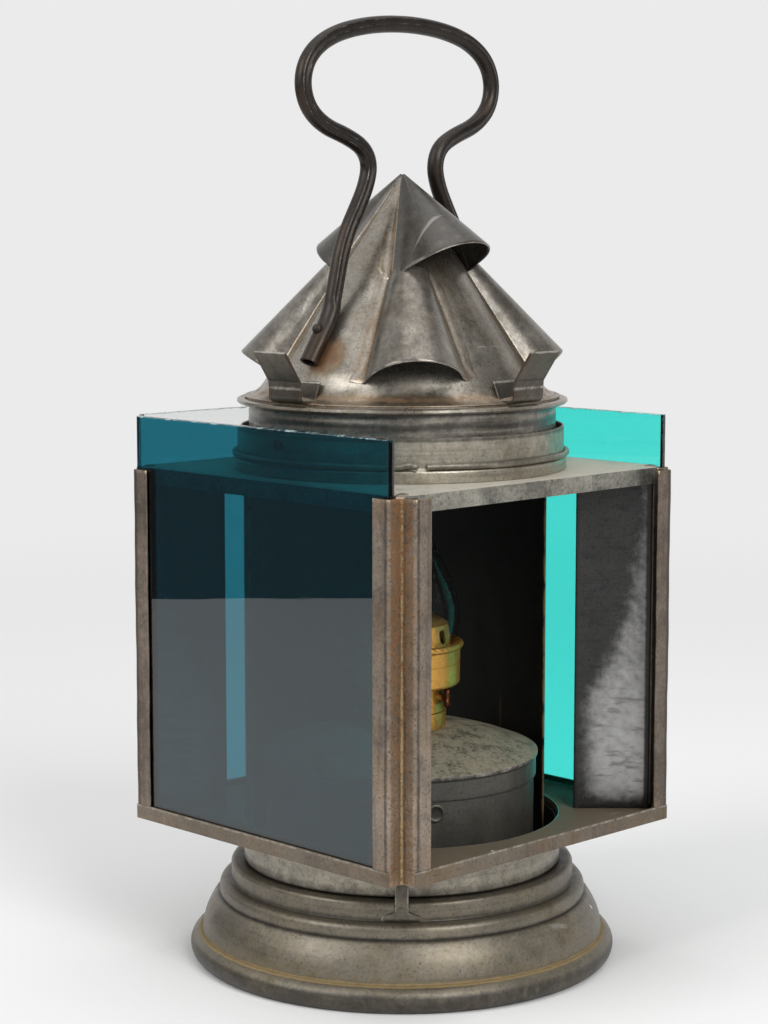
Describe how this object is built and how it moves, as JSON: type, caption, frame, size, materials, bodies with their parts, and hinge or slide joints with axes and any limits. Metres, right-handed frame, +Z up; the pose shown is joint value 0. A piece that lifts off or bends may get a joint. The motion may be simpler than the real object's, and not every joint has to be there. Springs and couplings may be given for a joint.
{
  "type": "railway signal lamp",
  "caption": "Square sheet-metal oil signal lamp on a spun turning base, with sliding coloured panes, an open window, a vented cone roof and a wire carrying handle.",
  "frame": {"origin": "centre of the base's underside", "axes": "+Z up, +X out of the open window, -Y out of the blue pane, +Y out of the green pane"},
  "size_m": [0.1606, 0.1606, 0.3497],
  "materials": {
    "tinned_sheet": "dull, worn tin plate with rust in the seams",
    "sooted_sheet": "sooty dark sheet",
    "iron": "dark worn iron",
    "brass": "aged satin brass",
    "copper_knob": "browned copper",
    "wick_cotton": "woven cotton",
    "chimney_glass": "clear",
    "blue_glass": "dark petrol blue",
    "green_glass": "bright turquoise green",
    "clear_glass": "clear"
  },
  "bodies": {
    "base": {"base_shell": "tinned_sheet", "foot_wire": "iron", "base_spigot": "sooted_sheet", "base_floor": "sooted_sheet", "index_spring": "tinned_sheet", "light_shield": "sooted_sheet", "font_can": "sooted_sheet", "font_lid": "sooted_sheet", "font_neck": "brass", "font_plug": "sooted_sheet"},
    "burner": {"burner_stem": "brass", "burner_cup": "brass", "gallery_ring": "brass", "burner_crown": "brass", "wick_tube": "brass"},
    "winder": {"winder_shaft": "brass", "winder_knob": "copper_knob"},
    "wick": {"wick": "wick_cotton"},
    "chimney": {"chimney": "chimney_glass"},
    "lantern": {"tray": "tinned_sheet", "lower_collar": "tinned_sheet", "post_front": "tinned_sheet", "post_right": "tinned_sheet", "post_back": "tinned_sheet", "post_left": "tinned_sheet", "baffle_front": "sooted_sheet", "baffle_right": "sooted_sheet", "baffle_back": "sooted_sheet", "baffle_left": "sooted_sheet", "top_plate": "tinned_sheet", "top_collar": "tinned_sheet", "collar_wire": "tinned_sheet", "roof_skirt": "tinned_sheet", "roof_cone": "tinned_sheet", "upper_hood_right": "tinned_sheet", "upper_hood_left": "tinned_sheet", "lower_hood_front": "tinned_sheet", "lower_hood_right": "tinned_sheet", "lower_hood_back": "tinned_sheet", "lower_hood_left": "tinned_sheet", "clip_window": "tinned_sheet", "clip_green": "tinned_sheet", "clip_clear": "tinned_sheet", "clip_blue": "tinned_sheet", "handle": "iron", "handle_rivets": "iron", "roof_rivets": "iron"},
    "blue_pane": {"pane_blue": "blue_glass"},
    "green_pane": {"pane_green": "green_glass"},
    "clear_pane": {"pane_clear": "clear_glass"}
  },
  "joints": [
    {"name": "lantern_turn", "type": "hinge", "parent": "base", "child": "lantern", "pos_m": [0, 0, 0.0367], "axis": [0, 0, 1], "continuous": true},
    {"name": "blue_pane_slide", "type": "slide", "parent": "lantern", "child": "blue_pane", "axis": [0, 0, 1], "range_m": [0, 0.105]},
    {"name": "green_pane_slide", "type": "slide", "parent": "lantern", "child": "green_pane", "axis": [0, 0, 1], "range_m": [0, 0.105]},
    {"name": "clear_pane_slide", "type": "slide", "parent": "lantern", "child": "clear_pane", "axis": [0, 0, 1], "range_m": [0, 0.105]},
    {"name": "burner_unscrew", "type": "hinge", "parent": "base", "child": "burner", "pos_m": [0, 0, 0.09], "axis": [0, 0, 1], "range_deg": [0, 540]},
    {"name": "winder_turn", "type": "hinge", "parent": "burner", "child": "winder", "pos_m": [0.00344, -0.00491, 0.0989], "axis": [0.8192, 0.5736, 0], "range_deg": [-121, 51]},
    {"name": "wick_feed", "type": "slide", "parent": "burner", "child": "wick", "axis": [0, 0, 1], "range_m": [-0.009, 0.00375]},
    {"name": "chimney_lift", "type": "slide", "parent": "burner", "child": "chimney", "axis": [0, 0, 1], "range_m": [0, 0.03]}
  ],
  "couplings": [
    {"joint": "winder_turn", "follows": "wick_feed", "rad_per_m": 232.56}
  ]
}
